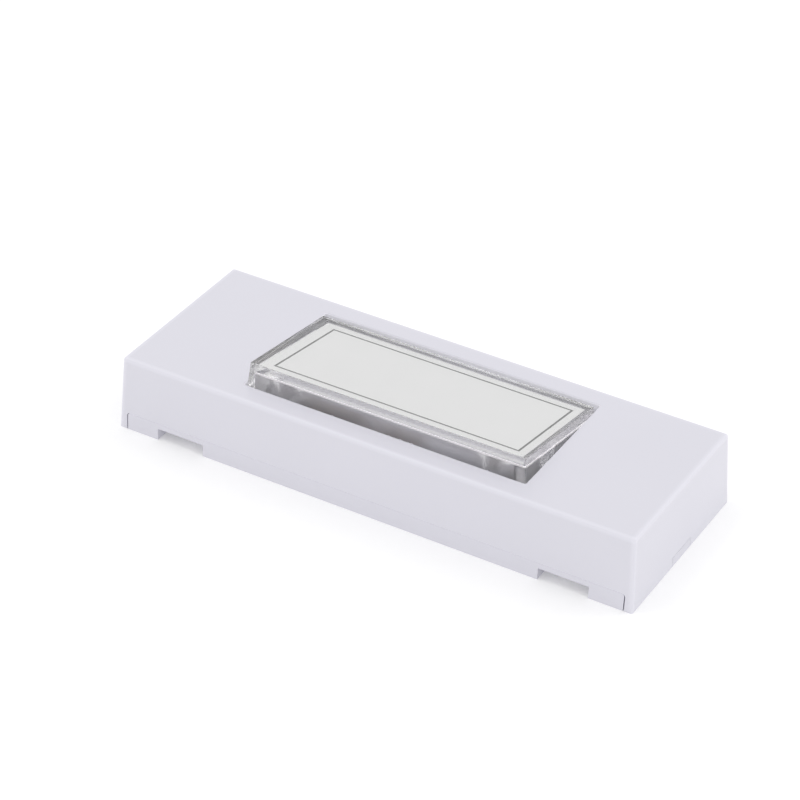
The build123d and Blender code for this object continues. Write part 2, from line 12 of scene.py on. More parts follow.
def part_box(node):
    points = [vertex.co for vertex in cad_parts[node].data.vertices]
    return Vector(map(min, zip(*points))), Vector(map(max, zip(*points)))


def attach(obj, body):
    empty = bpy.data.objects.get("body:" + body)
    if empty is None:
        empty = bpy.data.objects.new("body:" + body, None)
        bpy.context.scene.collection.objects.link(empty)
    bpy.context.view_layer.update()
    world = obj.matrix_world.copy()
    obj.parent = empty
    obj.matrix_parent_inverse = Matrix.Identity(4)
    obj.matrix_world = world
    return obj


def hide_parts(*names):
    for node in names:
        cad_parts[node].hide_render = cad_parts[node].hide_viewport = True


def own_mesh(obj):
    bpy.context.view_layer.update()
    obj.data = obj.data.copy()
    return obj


bl_info = {
    "name": "Bell push dressing",
    "version": (1, 0, 0),
    "blender": (4, 5, 0),
    "location": "View3D > Sidebar > Bell push",
    "description": "Finishes, springs, lamp filament, light and camera for the bell push",
    "category": "Object",
}

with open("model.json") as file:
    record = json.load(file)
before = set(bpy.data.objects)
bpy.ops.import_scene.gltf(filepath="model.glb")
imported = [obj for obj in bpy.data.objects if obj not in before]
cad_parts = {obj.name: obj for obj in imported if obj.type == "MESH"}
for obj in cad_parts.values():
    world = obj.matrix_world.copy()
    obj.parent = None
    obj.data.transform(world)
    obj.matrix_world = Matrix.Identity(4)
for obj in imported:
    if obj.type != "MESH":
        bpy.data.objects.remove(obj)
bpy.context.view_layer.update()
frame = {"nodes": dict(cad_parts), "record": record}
MM = 0.001
SLOT_COLOURS = {entry["slot"]: entry["base_color"][:3] for entry in frame["record"]["materials"]}

# The camera that was fitted to the corners of the case
CAMERA_PLACE = (0.17767, -0.31595, 0.25979)
CAMERA_RIGHT = Vector((0.86123, 0.50793, 0.01719))
CAMERA_DOWN = Vector((0.2992, -0.47938, -0.82503))
CAMERA_FORWARD = Vector((-0.41082, 0.71568, -0.56483))
CAMERA_LENS = 129.6
CAMERA_NEAR = 0.01
SENSOR_WIDTH = 36.0

# The places of the two lamps, the point that both face, and enough bounces for clear plastic
KEY_PLACE = Vector((0.75, 0.75, 0.95))
FILL_PLACE = Vector((-0.47, -0.2, 1.08))
LIT_POINT = Vector((0.0, 0.0, 0.008))
LIGHT_BOUNCES = 48

# How far the floor lies under the part's back, and how far a light mask stays off the next face
FLOOR_DROP = 0.01 * MM
MASK_MARGIN = 0.05 * MM

# Noise textures give values mostly between these two
NOISE_LOW = 0.3
NOISE_HIGH = 0.7

# A speck's tone as a share of the plastic's, and the fade of the printed line as a share of its half
SPECK_TONE = 0.45
LINE_FADE = 0.25

# The share of green in the joint's painted light, and how much of the painted wash and the painted rim
# glow is left at their ends
JOINT_GREEN = 0.96
WASH_END = 0.15
RIM_END = 0.5

# The grey that dulls the bronze, and its share
DULL_GREY = 0.48
DULL_SHARE = 0.45

# Points in a turn and sides of the wire, and the rise of a spring's closed end in wire radii
SPRING_POINTS = 40
SPRING_SIDES = 12
CLOSED_RISE = 1.9
FILAMENT_POINTS = 16
FILAMENT_SIDES = 6

# Shares of the filament's points at each end: its straight lead, and where the coil starts and is full
LEAD_END = 0.02
COIL_START = 0.01
COIL_FULL = 0.03

# The front lip of the opening, and its burrs: place along the lip in mm and share of the full size
LIP_Y = -11.95 * MM
LIP_Z = 12.66 * MM
BURRS = ((-8.6, 0.8), (1.4, 0.7), (3.3, 0.9), (4.6, 0.8), (5.3, 1.0), (18.2, 0.8))

# A burr is longer along the lip than across it, and uneven by this share
BURR_STRETCH = Vector((1.5, 0.9, 1.0))
BURR_UNEVEN = 0.35
BURR_NOISE_SCALE = 1.7
BURR_NOISE_STEP = 3.1

# For the smooth copies of CAD meshes
MERGE_DISTANCE = 0.001 * MM
SHARP_ANGLE = math.radians(30)


# Finishes


class Finish(NamedTuple):
    """How a surface looks from close by."""

    step: float  # how much darker the second of its two tones is
    gloss: tuple  # least and most roughness
    scale: float  # grains in a metre
    depth: float  # depth of the grain in mm
    stretch: tuple = (1.0, 1.0, 1.0)  # less than 1 draws the grain out along that axis
    drift: float = 0.05  # the tones change this much more slowly than the grain


FLOWED = (0.25, 1.0, 1.0)
ROLLED = (0.06, 1.0, 1.0)
STAMPED = (0.1, 1.0, 1.0)
FINISHES = {
    "pale_floor": Finish(step=0.004, gloss=(0.85, 0.95), scale=40.0, depth=0.0),
    "satin_cover_plastic": Finish(step=0.012, gloss=(0.34, 0.42), scale=2600.0, depth=0.003, drift=0.02),
    "satin_base_plastic": Finish(step=0.012, gloss=(0.38, 0.47), scale=2200.0, depth=0.003, drift=0.02),
    "clear_cap": Finish(step=0.015, gloss=(0.0, 0.04), scale=160.0, depth=0.002, stretch=FLOWED),
    "clear_tray": Finish(step=0.015, gloss=(0.14, 0.21), scale=160.0, depth=0.003, stretch=FLOWED),
    "card_stock": Finish(step=0.02, gloss=(0.8, 0.95), scale=3000.0, depth=0.004),
    "drawn_spring_wire": Finish(step=0.12, gloss=(0.22, 0.4), scale=4000.0, depth=0.002),
    "rolled_bronze": Finish(step=0.1, gloss=(0.22, 0.36), scale=3000.0, depth=0.002, stretch=ROLLED),
    "contact_silver_face": Finish(step=0.15, gloss=(0.25, 0.5), scale=3500.0, depth=0.004),
    "tinned_brass": Finish(step=0.14, gloss=(0.2, 0.38), scale=2600.0, depth=0.003, stretch=STAMPED),
    "zinc_plated_steel": Finish(step=0.12, gloss=(0.28, 0.46), scale=1800.0, depth=0.004),
    "nickel_plate": Finish(step=0.08, gloss=(0.12, 0.26), scale=2400.0, depth=0.002),
    "drawn_lamp_glass": Finish(step=0.015, gloss=(0.0, 0.03), scale=160.0, depth=0.002, stretch=FLOWED),
    "tungsten_wire": Finish(step=0.2, gloss=(0.4, 0.6), scale=6000.0, depth=0.001),
}


# Settings


def length(label, text, default):
    """A length in metres that a user can change."""
    return FloatProperty(
        name=label,
        description=text,
        default=default,
        min=0.0,
        precision=5,
        subtype="DISTANCE",
        unit="LENGTH",
    )


def angle(label, text, degrees):
    """An angle that a user can change."""
    return FloatProperty(name=label, description=text, default=math.radians(degrees), subtype="ANGLE")


def share(label, text, default):
    """A share from 0 to 1 that a user can change."""
    return FloatProperty(name=label, description=text, default=default, min=0.0, max=1.0, subtype="FACTOR")


def colour(label, text, default):
    """A colour that a user can change."""
    return FloatVectorProperty(
        name=label,
        description=text,
        default=default,
        min=0.0,
        max=1.0,
        size=3,
        subtype="COLOR",
    )


def strength(label, text, default):
    """A power or strength that a user can change."""
    return FloatProperty(name=label, description=text, default=default, min=0.0)


def refraction(default):
    """A refractive index that a user can change."""
    return FloatProperty(name="Bending", description="Refractive index", default=default, min=1.0, max=2.0)


class StageSettings(bpy.types.PropertyGroup):
    """The floor and the studio light."""

    floor_size: length("Floor size", "Length of each side of the floor", 6.0)
    floor_colour: colour("Floor colour", "Colour of the plain floor", (0.93, 0.93, 0.93))
    floor_glow: strength("Floor glow", "Light that the floor gives off, as a light table does", 0.142)
    sky: strength("Sky", "Strength of the even light from all round", 0.87)
    key_power: strength("Key power", "Power in watts of the large soft lamp behind and to the right", 2.5)
    key_size: length("Key size", "Length of each side of the key lamp", 0.7)
    fill_power: strength("Fill power", "Power in watts of the soft lamp above and to the left", 1.4)
    fill_size: length("Fill size", "Length of each side of the fill lamp", 0.35)


class MouldingSettings(bpy.types.PropertyGroup):
    """The white mouldings."""

    cover_colour: colour("Cover colour", "Colour of the cover's plastic", (0.717, 0.709, 0.775))
    base_colour: colour("Base colour", "Colour of the base's plastic", (0.707, 0.699, 0.765))
    speck_share: share("Specks", "Share of the places that hold a dark speck", 0.05)
    speck_spacing: length("Speck spacing", "Distance between those places", 3.0 * MM)
    speck_size: length("Speck size", "Radius of a speck", 0.06 * MM)
    draft: angle("Draft", "Lean of the sides", 3.1)
    # Painted highlight: the cover's edges are painted lighter, standing in for the sheen of the lamps; the
    # reach below is how far in it goes
    edge_highlight: share("Painted edge light", "How much lighter the plastic looks at the cover's edges", 0.11)
    edge_reach: length("Edge reach", "How far in from those edges it looks lighter", 0.85 * MM)
    # Painted glow: the walls of the opening, inside the box below, give off light though they are no lamp;
    # the rim settings set that painted glow
    opening_length: length("Opening length", "Length of the box that holds the opening's walls", 49.2 * MM)
    opening_width: length("Opening width", "Width of the box that holds the opening's walls", 24.1 * MM)
    rim_painted_glow: share("Rim painted glow", "Light that those thin walls let through", 0.2)
    rim_depth: length("Rim depth", "How far down the walls that light goes on fading", 2.5 * MM)
    strip_height: length("Strip height", "Height of the base's strips on the long sides", 2.9 * MM)
    strip_length: length("Strip length", "Length of those strips", 86.9 * MM)
    # Painted light: the seam gap gives off light, which lightens its shade
    gap_painted_light: share("Gap painted light", "Light in the thin gap between the strips and the cover", 0.32)


class ClearSettings(bpy.types.PropertyGroup):
    """The clear mouldings of the button."""

    tint: colour("Tint", "Colour of the clear plastic", (0.98, 0.98, 0.985))
    bending: refraction(1.59)
    absorbed: colour("Long view", "Colour of the plastic along a long path", (0.64, 0.62, 0.66))
    density: strength("Density", "How fast the plastic takes light away, for each metre of path", 12.0)
    cap_frost: share("Cap frost", "Roughness of the cap's front, back and end faces", 0.12)
    tray_frost: share("Tray frost", "Roughness of the tray's front, back and end faces", 0.4)
    frost_reach: length("Frost reach", "How far in from the outline a face is a side face", 0.12 * MM)
    left_reach: length("Left reach", "The same at the leaning left-hand end", 0.8 * MM)
    # Painted shade: the cap's front, left-hand end and back rim, and the tray's right-hand end, are
    # painted darker, standing in for the shade seen through thick clear plastic
    cap_end: length("Cap end", "Thickness of the cap's left-hand end, which looks greyer", 1.45 * MM)
    tray_end: length("Tray end", "Thickness of the tray's right-hand end, which looks greyer", 1.95 * MM)
    cap_back: length("Cap back", "Width of the cap's back rim, which looks greyer", 0.8 * MM)
    end_shade: share("End shade", "How much darker the cap's thick end and back rim look", 0.16)
    front_shade: share("Front shade", "How much darker the cap's front face looks", 0.12)
    corner_shade: share("Corner shade", "How much darker the front of the cap's left-hand end looks", 0.35)
    foot_shade: share("Foot shade", "How much darker the solid walls at both ends look", 0.28)
    # Painted light: a light line along the joint and a wash on the tray's front wall are given off by the
    # clear plastic, which is no lamp
    joint_height: length("Joint height", "Height of the joint of cap and tray at the front", 15.22 * MM)
    joint_half: length("Joint half width", "Half the width of the light line along the joint", 0.17 * MM)
    joint_reach: length("Joint reach", "How far in from the right-hand end that line goes", 0.6 * MM)
    joint_painted_light: share("Joint painted light", "Light that the joint's edges gather", 0.4)
    painted_wash: share("Wash", "Light that the tray's front wall gathers near the joint", 0.13)
    wash_depth: length("Wash depth", "How far down that light reaches", 2.6 * MM)


class CardSettings(bpy.types.PropertyGroup):
    """The card and its printed border."""

    paper: colour("Paper", "Colour of the card", (0.758, 0.759, 0.748))
    ink: colour("Ink", "Colour of the printed border", (0.065, 0.07, 0.065))
    border_left: length("Border left", "Distance of the border from the card's left-hand edge", 2.01 * MM)
    border_right: length("Border right", "Distance of the border from the right-hand edge", 1.38 * MM)
    border_front: length("Border front", "Distance of the border from the front edge", 1.58 * MM)
    border_back: length("Border back", "Distance of the border from the back edge", 1.67 * MM)
    border_width: length("Border width", "Width of the printed line", 0.34 * MM)
    light_through: share("Light through", "Share of the light that the paper lets through", 0.8)
    slope: angle("Slope", "Slope of the card", 9.6)


class SpringSettings(bpy.types.PropertyGroup):
    """The two return springs and the contact leaf."""

    wire: length("Wire", "Diameter of the spring wire", 0.4 * MM)
    turns: FloatProperty(name="Turns", description="Number of turns", default=4.5, min=2.0, max=30.0)
    closed: share("Closed ends", "Share of the turns that lies closed at each end", 0.12)
    pressed: share("Pressed height", "Height at full press as a share of the height at rest", 0.81)
    leaf_pressed: share("Pressed leaf", "Rise of the leaf at full press as a share of that at rest", 0.618)


class LampSettings(bpy.types.PropertyGroup):
    """The lamp's glass and filament."""

    glass: colour("Glass", "Colour of the lamp's glass", (0.97, 0.975, 0.975))
    bending: refraction(1.47)
    wire: length("Filament wire", "Diameter of the filament wire", 0.06 * MM)
    coil_radius: length("Coil radius", "Radius of the filament's coil", 0.2 * MM)
    coil_length: length("Coil length", "Length of the coiled part", 15.0 * MM)
    turns: IntProperty(name="Turns", description="Turns of the filament", default=56, min=4, max=120)
    sag: length("Sag", "How far the middle of the coil hangs down", 0.35 * MM)


class BurrSettings(bpy.types.PropertyGroup):
    """The small burrs on the front lip of the opening."""

    reach: length("Burr size", "Radius of the largest burr", 0.17 * MM)
    seed: IntProperty(name="Seed", description="Seed of the burrs' shapes", default=7)


class BellPushSettings(bpy.types.PropertyGroup):
    """All settings of the bell push."""

    stage: PointerProperty(type=StageSettings)
    moulding: PointerProperty(type=MouldingSettings)
    clear: PointerProperty(type=ClearSettings)
    card: PointerProperty(type=CardSettings)
    spring: PointerProperty(type=SpringSettings)
    lamp: PointerProperty(type=LampSettings)
    burr: PointerProperty(type=BurrSettings)


# Nodes


# Numbers of a Mix node's colour sockets, as its sockets for other values have the same names
FIRST_COLOUR = 6
SECOND_COLOUR = 7
MIXED_COLOUR = 2


def put(tree, kind, inputs=None, **settings):
    """A node with its settings, its inputs set to values or joined to other nodes' outputs."""
    node = tree.nodes.new(kind)
    for name, value in settings.items():
        setattr(node, name, value)
    for name, value in (inputs or {}).items():
        if isinstance(value, bpy.types.NodeSocket):
            tree.links.new(value, node.inputs[name])
        else:
            node.inputs[name].default_value = value
    return node


def calculate(tree, operation, *values):
    """The output of a Math node, or of a row of them where there are more than two values."""
    first = dict(enumerate(values[:2]))
    total = put(tree, "ShaderNodeMath", first, operation=operation).outputs[0]
    for value in values[2:]:
        total = put(tree, "ShaderNodeMath", {0: total, 1: value}, operation=operation).outputs[0]
    return total


def calculate_vector(tree, operation, first, second):
    """The output of a Vector Math node."""
    return put(tree, "ShaderNodeVectorMath", {0: first, 1: second}, operation=operation).outputs[0]


def spread(tree, value, low, high, to_low, to_high):
    """The output of a clamped Map Range node."""
    inputs = {"Value": value, "From Min": low, "From Max": high, "To Min": to_low, "To Max": to_high}
    return put(tree, "ShaderNodeMapRange", inputs).outputs[0]


def blend_colours(tree, factor, first, second):
    """The output of a colour Mix node."""
    node = put(tree, "ShaderNodeMix", data_type="RGBA")
    tree.links.new(factor, node.inputs[0])
    for number, value in ((FIRST_COLOUR, first), (SECOND_COLOUR, second)):
        if isinstance(value, bpy.types.NodeSocket):
            tree.links.new(value, node.inputs[number])
        else:
            node.inputs[number].default_value = (*value, 1.0)
    return node.outputs[MIXED_COLOUR]


def object_point(tree):
    """The place of a point on the object, in the frame that all pieces share."""
    return put(tree, "ShaderNodeTexCoord").outputs["Object"]


def axes_of(tree, point):
    """The X, Y and Z of a point."""
    return tuple(put(tree, "ShaderNodeSeparateXYZ", {0: point}).outputs)


def box_mask(tree, low, high):
    """The output of a mask that is 1 inside a box."""
    sides = []
    for axis, start, end in zip(axes_of(tree, object_point(tree)), low, high):
        sides.append(calculate(tree, "GREATER_THAN", axis, start))
        sides.append(calculate(tree, "LESS_THAN", axis, end))
    return calculate(tree, "MULTIPLY", *sides)


# Node groups


MASK_OUTPUT = {"Mask": "Float"}
GEOMETRY_OUTPUT = {"Geometry": "Geometry"}


def shared_group(name, build):
    """The node group of this name, which is built the first time that it is asked for."""
    if name not in bpy.data.node_groups:
        build(name)
    return bpy.data.node_groups[name]


def node_group(kind, name, inputs, outputs):
    """A new node group, the sockets of what it is given and the sockets of what it makes."""
    group = bpy.data.node_groups.new(name, kind)
    for way, sockets in (("INPUT", inputs), ("OUTPUT", outputs)):
        for label, socket_kind in sockets.items():
            group.interface.new_socket(label, in_out=way, socket_type="NodeSocket" + socket_kind)
    return group, group.nodes.new("NodeGroupInput").outputs, group.nodes.new("NodeGroupOutput").inputs


def build_grain(name):
    """Surface grain: a fine relief and a slow drift of tone, stretched along the axes."""
    inputs = {"Scale": "Float", "Stretch": "Vector", "Drift": "Float"}
    outputs = {"Relief": "Float", "Tone": "Float"}
    group, given, result = node_group("ShaderNodeTree", name, inputs, outputs)
    point = calculate_vector(group, "MULTIPLY", object_point(group), given["Stretch"])
    fine = put(
        group,
        "ShaderNodeTexNoise",
        {"Vector": point, "Scale": given["Scale"], "Detail": 3.0, "Roughness": 0.6},
    )
    slow_scale = calculate(group, "MULTIPLY", given["Scale"], given["Drift"])
    slow = put(group, "ShaderNodeTexNoise", {"Vector": point, "Scale": slow_scale, "Detail": 2.0})
    tone = spread(group, slow.outputs[0], NOISE_LOW, NOISE_HIGH, 0.0, 1.0)
    group.links.new(fine.outputs[0], result["Relief"])
    group.links.new(tone, result["Tone"])


def build_specks(name):
    """Specks: a mask of small scattered dots."""
    inputs = {"Spacing": "Float", "Size": "Float", "Share": "Float"}
    group, given, result = node_group("ShaderNodeTree", name, inputs, MASK_OUTPUT)
    scale = calculate(group, "DIVIDE", 1.0, given["Spacing"])
    cells = put(group, "ShaderNodeTexVoronoi", {"Vector": object_point(group), "Scale": scale})
    distance = calculate(group, "MULTIPLY", cells.outputs["Distance"], given["Spacing"])
    near = calculate(group, "LESS_THAN", distance, given["Size"])
    draw = put(group, "ShaderNodeSeparateColor", {"Color": cells.outputs["Color"]}).outputs[0]
    chosen = calculate(group, "LESS_THAN", draw, given["Share"])
    group.links.new(calculate(group, "MULTIPLY", near, chosen), result["Mask"])


def build_edge_highlight(name):
    """Painted edge highlight: a mask that rises towards the upper and upright edges of a drafted block,
    where light is painted into the colour.
    """
    inputs = {
        "Half Length": "Float",
        "Half Width": "Float",
        "Top": "Float",
        "Draft": "Float",
        "Reach": "Float",
    }
    group, given, result = node_group("ShaderNodeTree", name, inputs, MASK_OUTPUT)
    x, y, z = axes_of(group, object_point(group))
    lean = calculate(group, "MULTIPLY", z, given["Draft"])
    depths = [calculate(group, "SUBTRACT", given["Top"], z)]
    for axis, half in ((x, "Half Length"), (y, "Half Width")):
        out = calculate(group, "ADD", calculate(group, "ABSOLUTE", axis), lean)
        depths.append(calculate(group, "SUBTRACT", given[half], out))
    near = [spread(group, depth, 0.0, given["Reach"], 1.0, 0.0) for depth in depths]
    # A point that is near two faces at once is near an edge
    both = spread(group, calculate(group, "ADD", *near), 1.0, 2.0, 0.0, 1.0)
    group.links.new(both, result["Mask"])


def build_border(name):
    """Printed border: a mask of a thin rectangular line on a flat, tilted card."""
    inputs = {
        "Place": "Vector",
        "Tilt": "Vector",
        "Half Length": "Float",
        "Half Depth": "Float",
        "Line Width": "Float",
    }
    group, given, result = node_group("ShaderNodeTree", name, inputs, MASK_OUTPUT)
    moved = calculate_vector(group, "SUBTRACT", object_point(group), given["Place"])
    turn = {"Vector": moved, "Rotation": given["Tilt"]}
    level = put(group, "ShaderNodeVectorRotate", turn, rotation_type="EULER_XYZ").outputs[0]
    x, y = axes_of(group, level)[:2]
    across = calculate(group, "SUBTRACT", calculate(group, "ABSOLUTE", x), given["Half Length"])
    along = calculate(group, "SUBTRACT", calculate(group, "ABSOLUTE", y), given["Half Depth"])
    edge = calculate(group, "ABSOLUTE", calculate(group, "MAXIMUM", across, along))
    half = calculate(group, "MULTIPLY", given["Line Width"], 0.5)
    inner = calculate(group, "MULTIPLY", half, 1.0 - LINE_FADE)
    outer = calculate(group, "MULTIPLY", half, 1.0 + LINE_FADE)
    group.links.new(spread(group, edge, inner, outer, 1.0, 0.0), result["Mask"])


# Materials


def grained(name, base_colour, metallic=0.0):
    """A material whose grain leads its two close tones, its roughness and its relief."""
    finish = FINISHES[name]
    material = bpy.data.materials.new(name)
    material.use_nodes = True
    tree = material.node_tree
    tree.nodes.clear()
    shader = put(tree, "ShaderNodeBsdfPrincipled", {"Metallic": metallic})
    put(tree, "ShaderNodeOutputMaterial", {"Surface": shader.outputs["BSDF"]})
    values = {"Scale": finish.scale, "Stretch": finish.stretch, "Drift": finish.drift}
    grain = put(tree, "ShaderNodeGroup", values, node_tree=shared_group("Surface grain", build_grain))
    relief = grain.outputs["Relief"]
    darker = tuple(part * (1.0 - finish.step) for part in base_colour)
    two_tones = blend_colours(tree, grain.outputs["Tone"], base_colour, darker)
    tree.links.new(two_tones, shader.inputs["Base Color"])
    tree.links.new(spread(tree, relief, NOISE_LOW, NOISE_HIGH, *finish.gloss), shader.inputs["Roughness"])
    bump = put(tree, "ShaderNodeBump", {"Distance": finish.depth * MM, "Height": relief})
    tree.links.new(bump.outputs[0], shader.inputs["Normal"])
    return material


def shader_of(material):
    """A material's Principled shader."""
    return next(node for node in material.node_tree.nodes if node.type == "BSDF_PRINCIPLED")


def output_of(material):
    """A material's output node."""
    return next(node for node in material.node_tree.nodes if node.type == "OUTPUT_MATERIAL")


def recolour(material, mask, new_colour):
    """Gives a material another colour where a mask is 1."""
    tree = material.node_tree
    socket = shader_of(material).inputs["Base Color"]
    tree.links.new(blend_colours(tree, mask, socket.links[0].from_socket, new_colour), socket)


def roughen(material, amount):
    """Makes a material at least as rough as an amount that changes over the surface."""
    tree = material.node_tree
    socket = shader_of(material).inputs["Roughness"]
    tree.links.new(calculate(tree, "MAXIMUM", socket.links[0].from_socket, amount), socket)


def give_light(material, amount, green=1.0):
    """Makes a material give off an amount of light, with this share of green in it."""
    tree = material.node_tree
    shader = shader_of(material)
    parts = {"Red": amount, "Green": calculate(tree, "MULTIPLY", amount, green), "Blue": amount}
    light = put(tree, "ShaderNodeCombineColor", parts).outputs[0]
    tree.links.new(light, shader.inputs["Emission Color"])
    shader.inputs["Emission Strength"].default_value = 1.0
    material.cycles.emission_sampling = "NONE"


def let_light_pass(material, passed_colour, part_passed):
    """Lets a share of the light of lamps and sky straight through a material."""
    tree = material.node_tree
    path = put(tree, "ShaderNodeLightPath")
    lighting = calculate(tree, "MAXIMUM", path.outputs["Is Shadow Ray"], path.outputs["Is Diffuse Ray"])
    factor = calculate(tree, "MULTIPLY", lighting, part_passed)
    passing = put(tree, "ShaderNodeBsdfTransparent", {"Color": (*passed_colour, 1.0)}).outputs[0]
    either = put(tree, "ShaderNodeMixShader", {0: factor, 1: shader_of(material).outputs[0], 2: passing})
    tree.links.new(either.outputs[0], output_of(material).inputs["Surface"])


def add_specks(material, settings):
    """Scatters a few dark specks over a white moulding."""
    values = {
        "Spacing": settings.speck_spacing,
        "Size": settings.speck_size,
        "Share": settings.speck_share,
    }
    group = shared_group("Specks", build_specks)
    specks = put(material.node_tree, "ShaderNodeGroup", values, node_tree=group)
    dark = tuple(part * SPECK_TONE for part in settings.cover_colour)
    recolour(material, specks.outputs["Mask"], dark)


def paint_edge_highlight(material, high, settings):
    """Paints a highlight on the cover's upper and upright edges: a lighter colour that stands in for the
    sheen of the lamps there.
    """
    values = {
        "Half Length": high.x,
        "Half Width": high.y,
        "Top": high.z,
        "Draft": math.tan(settings.draft),
        "Reach": settings.edge_reach,
    }
    group = shared_group("Painted edge highlight", build_edge_highlight)
    edges = put(material.node_tree, "ShaderNodeGroup", values, node_tree=group)
    light = tuple(part * (1.0 + settings.edge_highlight) for part in settings.cover_colour)
    recolour(material, edges.outputs["Mask"], light)


def opening_painted_glow(tree, settings, top):
    """Painted glow on the opening's walls: light that the plastic gives off there though it is no lamp,
    fading downwards.
    """
    half_length = settings.opening_length / 2
    half_width = settings.opening_width / 2
    roof = top - MASK_MARGIN
    mask = box_mask(tree, (-half_length, -half_width, 0.0), (half_length, half_width, roof))
    z = axes_of(tree, object_point(tree))[2]
    fade = spread(tree, z, roof - settings.rim_depth, roof, RIM_END, 1.0)
    return calculate(tree, "MULTIPLY", mask, fade, settings.rim_painted_glow)


def gap_painted_light(tree, settings, half_width):
    """Painted light in the thin gap between the base's strips and the cover: light given off there, which
    lightens the seam's shade.
    """
    half_length = settings.strip_length / 2
    half_gap = half_width - settings.strip_height * math.tan(settings.draft) - MASK_MARGIN
    low = (-half_length, -half_gap, settings.strip_height - MASK_MARGIN)
    high = (half_length, half_gap, settings.strip_height + 2 * MASK_MARGIN)
    return calculate(tree, "MULTIPLY", box_mask(tree, low, high), settings.gap_painted_light)


def clear_material(name, tint, bending):
    """A clear material with faint flow ripples, which lets the light of lamps and sky through."""
    material = grained(name, tint)
    shader = shader_of(material)
    shader.inputs["Transmission Weight"].default_value = 1.0
    shader.inputs["IOR"].default_value = bending
    # Light goes in by one face and out by another, so that each has half of the tint
    let_light_pass(material, tuple(part**0.5 for part in tint), 1.0)
    return material


def absorb_light(material, settings):
    """Makes clear plastic take light away along a long path."""
    tree = material.node_tree
    values = {"Color": (*settings.absorbed, 1.0), "Density": settings.density}
    volume = put(tree, "ShaderNodeVolumeAbsorption", values)
    tree.links.new(volume.outputs[0], output_of(material).inputs["Volume"])


def paint_shade_on_thick_parts(cap, tray, low, high, settings):
    """Paints shade on the button's front, back rim and thick ends, a darker colour that stands in for the
    shade seen through thick clear plastic; where boxes overlap, the last one holds.
    """
    margin = Vector((MM, MM, MM))
    floor, roof = low - margin, high + margin
    face_y = low.y + settings.frost_reach
    rim_y = high.y - settings.cap_back
    cap_x = low.x + settings.cap_end
    tray_x = high.x - settings.tray_end
    boxes = (
        (cap, floor, (roof.x, face_y, roof.z), settings.front_shade),
        (cap, floor, (cap_x, roof.y, roof.z), settings.end_shade),
        (cap, floor, (cap_x, roof.y, settings.joint_height), settings.foot_shade),
        (cap, (floor.x, rim_y, floor.z), roof, settings.end_shade),
        (cap, floor, (cap_x, face_y, roof.z), settings.corner_shade),
        (tray, (tray_x, floor.y, 0.0), roof, settings.foot_shade),
    )
    for material, start, end, painted_shade in boxes:
        recolour(material, box_mask(material.node_tree, start, end), (1.0 - painted_shade,) * 3)


def frost_sides(material, low, high, settings, roughness):
    """Makes a clear material rough on the faces near the outline of a box, seen from above."""
    tree = material.node_tree
    x, y = axes_of(tree, object_point(tree))[:2]
    sides = (
        calculate(tree, "LESS_THAN", x, low.x + settings.left_reach),
        calculate(tree, "GREATER_THAN", x, high.x - settings.frost_reach),
        calculate(tree, "LESS_THAN", y, low.y + settings.frost_reach),
        calculate(tree, "GREATER_THAN", y, high.y - settings.frost_reach),
    )
    roughen(material, calculate(tree, "MULTIPLY", calculate(tree, "MAXIMUM", *sides), roughness))


def rise_above_joint(tree, y, z, front, height, slope):
    """How far a point lies above the joint of cap and tray, which falls towards the back."""
    upwards = calculate(tree, "SUBTRACT", z, height)
    backwards = calculate(tree, "SUBTRACT", y, front)
    return calculate(
        tree,
        "ADD",
        calculate(tree, "MULTIPLY", upwards, math.cos(slope)),
        calculate(tree, "MULTIPLY", backwards, math.sin(slope)),
    )


def paint_joint_light(material, low, high, slope, settings, painted_wash):
    """Makes the joint's thin edges rough and paints a light line on them, and paints a wash of light on
    the tray's hollow front wall; both are light that the clear plastic gives off though it is no lamp.
    """
    tree = material.node_tree
    x, y, z = axes_of(tree, object_point(tree))
    rise = rise_above_joint(tree, y, z, low.y, settings.joint_height, slope)
    near = calculate(tree, "LESS_THAN", calculate(tree, "ABSOLUTE", rise), settings.joint_half)
    front = calculate(tree, "LESS_THAN", y, low.y + settings.frost_reach)
    past_cap_end = calculate(tree, "GREATER_THAN", x, low.x + settings.cap_end)
    right = calculate(tree, "GREATER_THAN", x, high.x - settings.joint_reach)
    walls = calculate(tree, "MAXIMUM", calculate(tree, "MULTIPLY", front, past_cap_end), right)
    line = calculate(tree, "MULTIPLY", near, walls)
    roughen(material, line)
    fade = spread(tree, rise, -settings.wash_depth, 0.0, WASH_END * painted_wash, painted_wash)
    hollow = calculate(tree, "LESS_THAN", x, high.x - settings.tray_end)
    washed = calculate(tree, "MULTIPLY", fade, front, hollow)
    lit = calculate(tree, "MAXIMUM", washed, calculate(tree, "MULTIPLY", line, settings.joint_painted_light))
    give_light(material, lit, JOINT_GREEN)


def print_border(material, settings):
    """Prints the thin border on the card."""
    low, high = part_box("name_card")
    width = high.x - low.x
    depth = (high.y - low.y) / math.cos(settings.slope)
    aside = (settings.border_left - settings.border_right) / 2
    up = (settings.border_front - settings.border_back) / 2
    shift = Vector((aside, up * math.cos(settings.slope), -up * math.sin(settings.slope)))
    values = {
        "Place": (low + high) / 2 + shift,
        "Tilt": (settings.slope, 0.0, 0.0),
        "Half Length": (width - settings.border_left - settings.border_right) / 2,
        "Half Depth": (depth - settings.border_front - settings.border_back) / 2,
        "Line Width": settings.border_width,
    }
    group = shared_group("Printed border", build_border)
    border = put(material.node_tree, "ShaderNodeGroup", values, node_tree=group)
    recolour(material, border.outputs["Mask"], settings.ink)


def silver_material():
    """The dull silver of the contact faces, which two operators use."""
    name = "contact_silver_face"
    if name in bpy.data.materials:
        return bpy.data.materials[name]
    return grained(name, SLOT_COLOURS["contact_silver"], metallic=1.0)


def dress(material, *names):
    """Gives CAD nodes a material."""
    for name in names:
        slots = frame["nodes"][name].data.materials
        slots.clear()
        slots.append(material)


# Meshes


